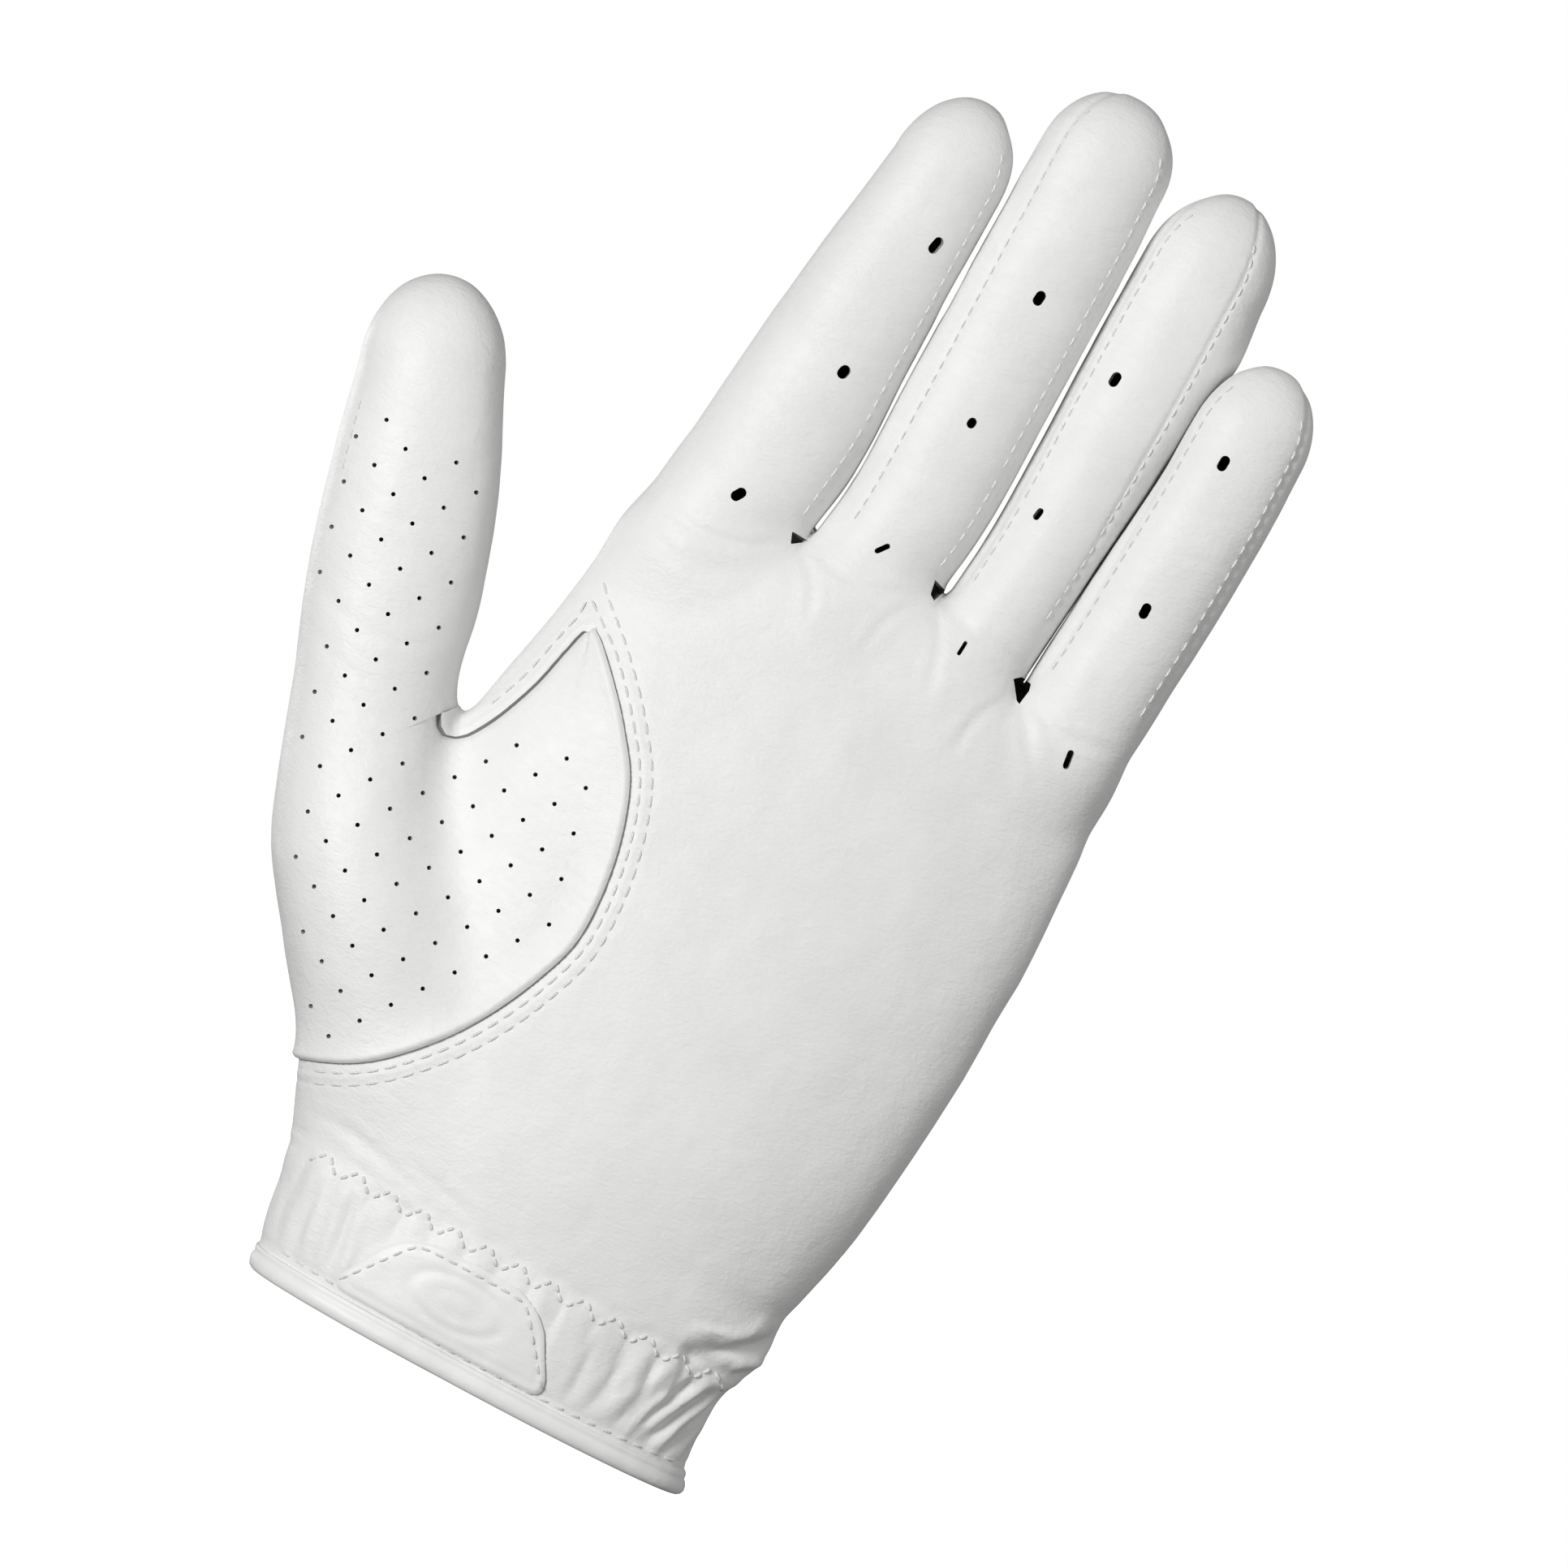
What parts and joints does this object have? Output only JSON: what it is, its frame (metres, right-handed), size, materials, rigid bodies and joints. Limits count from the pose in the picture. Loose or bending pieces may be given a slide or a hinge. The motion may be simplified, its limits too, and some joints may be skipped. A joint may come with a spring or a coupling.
{
  "type": "golf glove",
  "caption": "Left-hand white leather golf glove, filled out, with a perforated thumb panel, gathered elastic cuff, bound rim and a hook-and-loop tab that peels open.",
  "frame": {"origin": "centre of the wrist opening, in the plane of the cuff's rim", "axes": "+Z from the rim to the fingertips, palm towards -Y, thumb towards -X"},
  "size_m": [0.1337, 0.0415, 0.2184],
  "materials": {
    "glove_leather": "soft matt white with a fine grain",
    "thumb_leather": "soft matt white with a fine grain, pin perforations",
    "perforated_leather": "soft matt white, pin perforations",
    "fourchette_leather": "soft matt white side strips",
    "cuff_leather": "soft matt white, gathered",
    "binding_leather": "smooth rolled edge",
    "patch_leather": "smooth with a blind embossed ring",
    "tab_leather": "smooth white",
    "lining": "woven backing",
    "elastic": "ribbed woven elastic",
    "hook_pile": "moulded hooks",
    "loop_pile": "brushed loops",
    "thread": "twisted sewing thread"
  },
  "bodies": {
    "root": {"palm_leather": "glove_leather", "back_leather": "glove_leather", "thumb_panel": "perforated_leather", "cuff_palm_leather": "cuff_leather", "cuff_back_leather": "cuff_leather", "cuff_binding": "binding_leather", "slit_binding": "binding_leather", "wrist_elastic": "elastic", "cuff_patch": "patch_leather", "zigzag_stitching": "thread", "loop_patch": "loop_pile", "tab_anchor": "tab_leather"},
    "index_lower": {"index_lower_palm_leather": "glove_leather", "index_lower_back_leather": "glove_leather", "index_lower_fourchettes": "fourchette_leather", "index_base_crease": "glove_leather"},
    "index_upper": {"index_upper_palm_leather": "glove_leather", "index_upper_back_leather": "glove_leather", "index_upper_fourchettes": "fourchette_leather", "index_middle_crease": "glove_leather"},
    "middle_lower": {"middle_lower_palm_leather": "glove_leather", "middle_lower_back_leather": "glove_leather", "middle_lower_fourchettes": "fourchette_leather", "middle_base_crease": "glove_leather"},
    "middle_upper": {"middle_upper_palm_leather": "glove_leather", "middle_upper_back_leather": "glove_leather", "middle_upper_fourchettes": "fourchette_leather", "middle_middle_crease": "glove_leather"},
    "ring_lower": {"ring_lower_palm_leather": "glove_leather", "ring_lower_back_leather": "glove_leather", "ring_lower_fourchettes": "fourchette_leather", "ring_base_crease": "glove_leather"},
    "ring_upper": {"ring_upper_palm_leather": "glove_leather", "ring_upper_back_leather": "glove_leather", "ring_upper_fourchettes": "fourchette_leather", "ring_middle_crease": "glove_leather"},
    "little_lower": {"little_lower_palm_leather": "glove_leather", "little_lower_back_leather": "glove_leather", "little_lower_fourchettes": "fourchette_leather", "little_base_crease": "glove_leather"},
    "little_upper": {"little_upper_palm_leather": "glove_leather", "little_upper_back_leather": "glove_leather", "little_upper_fourchettes": "fourchette_leather", "little_middle_crease": "glove_leather"},
    "thumb_lower": {"thumb_lower_front_leather": "thumb_leather", "thumb_lower_back_leather": "thumb_leather", "thumb_base_crease": "thumb_leather"},
    "thumb_upper": {"thumb_upper_front_leather": "thumb_leather", "thumb_upper_back_leather": "thumb_leather", "thumb_middle_crease": "thumb_leather"},
    "tab": {"closure_tab": "tab_leather", "tab_lining": "lining", "hook_patch": "hook_pile"}
  },
  "joints": [
    {"name": "index_base_bend", "type": "hinge", "parent": "root", "child": "index_lower", "pos_m": [-0.02585, -0.0015, 0.1435], "axis": [1, 0, 0], "range_deg": [0, 70], "stiffness_Nm_per_rad": 0.01, "deforming": ["index_base_crease"]},
    {"name": "index_middle_bend", "type": "hinge", "parent": "index_lower", "child": "index_upper", "pos_m": [-0.02415, -0.0015, 0.168], "axis": [1, 0, 0], "range_deg": [0, 80], "stiffness_Nm_per_rad": 0.006, "deforming": ["index_middle_crease"]},
    {"name": "middle_base_bend", "type": "hinge", "parent": "root", "child": "middle_lower", "pos_m": [-0.00286, -0.0015, 0.146], "axis": [1, 0, 0], "range_deg": [0, 70], "stiffness_Nm_per_rad": 0.01, "deforming": ["middle_base_crease"]},
    {"name": "middle_middle_bend", "type": "hinge", "parent": "middle_lower", "child": "middle_upper", "pos_m": [-0.00236, -0.0015, 0.172], "axis": [1, 0, 0], "range_deg": [0, 80], "stiffness_Nm_per_rad": 0.006, "deforming": ["middle_middle_crease"]},
    {"name": "ring_base_bend", "type": "hinge", "parent": "root", "child": "ring_lower", "pos_m": [0.01656, -0.0015, 0.145], "axis": [1, 0, 0], "range_deg": [0, 70], "stiffness_Nm_per_rad": 0.01, "deforming": ["ring_base_crease"]},
    {"name": "ring_middle_bend", "type": "hinge", "parent": "ring_lower", "child": "ring_upper", "pos_m": [0.01762, -0.0015, 0.17], "axis": [1, 0, 0], "range_deg": [0, 80], "stiffness_Nm_per_rad": 0.006, "deforming": ["ring_middle_crease"]},
    {"name": "little_base_bend", "type": "hinge", "parent": "root", "child": "little_lower", "pos_m": [0.03477, -0.0015, 0.14], "axis": [1, 0, 0], "range_deg": [0, 70], "stiffness_Nm_per_rad": 0.01, "deforming": ["little_base_crease"]},
    {"name": "little_middle_bend", "type": "hinge", "parent": "little_lower", "child": "little_upper", "pos_m": [0.03634, -0.0015, 0.162], "axis": [1, 0, 0], "range_deg": [0, 80], "stiffness_Nm_per_rad": 0.006, "deforming": ["little_middle_crease"]},
    {"name": "thumb_base_bend", "type": "hinge", "parent": "root", "child": "thumb_lower", "pos_m": [-0.0596, -0.0015, 0.0795], "axis": [0.9272, 0, 0.3746], "range_deg": [0, 50], "stiffness_Nm_per_rad": 0.015, "deforming": ["thumb_base_crease"]},
    {"name": "thumb_middle_bend", "type": "hinge", "parent": "thumb_lower", "child": "thumb_upper", "pos_m": [-0.0698, -0.0015, 0.112], "axis": [0.9511, 0, 0.309], "range_deg": [0, 60], "stiffness_Nm_per_rad": 0.008, "deforming": ["thumb_middle_crease"]},
    {"name": "tab_peel", "type": "hinge", "parent": "root", "child": "tab", "pos_m": [0.013, 0.0224, 0.039], "axis": [0, 0, -1], "range_deg": [0, 150], "stiffness_Nm_per_rad": 0.002}
  ]
}
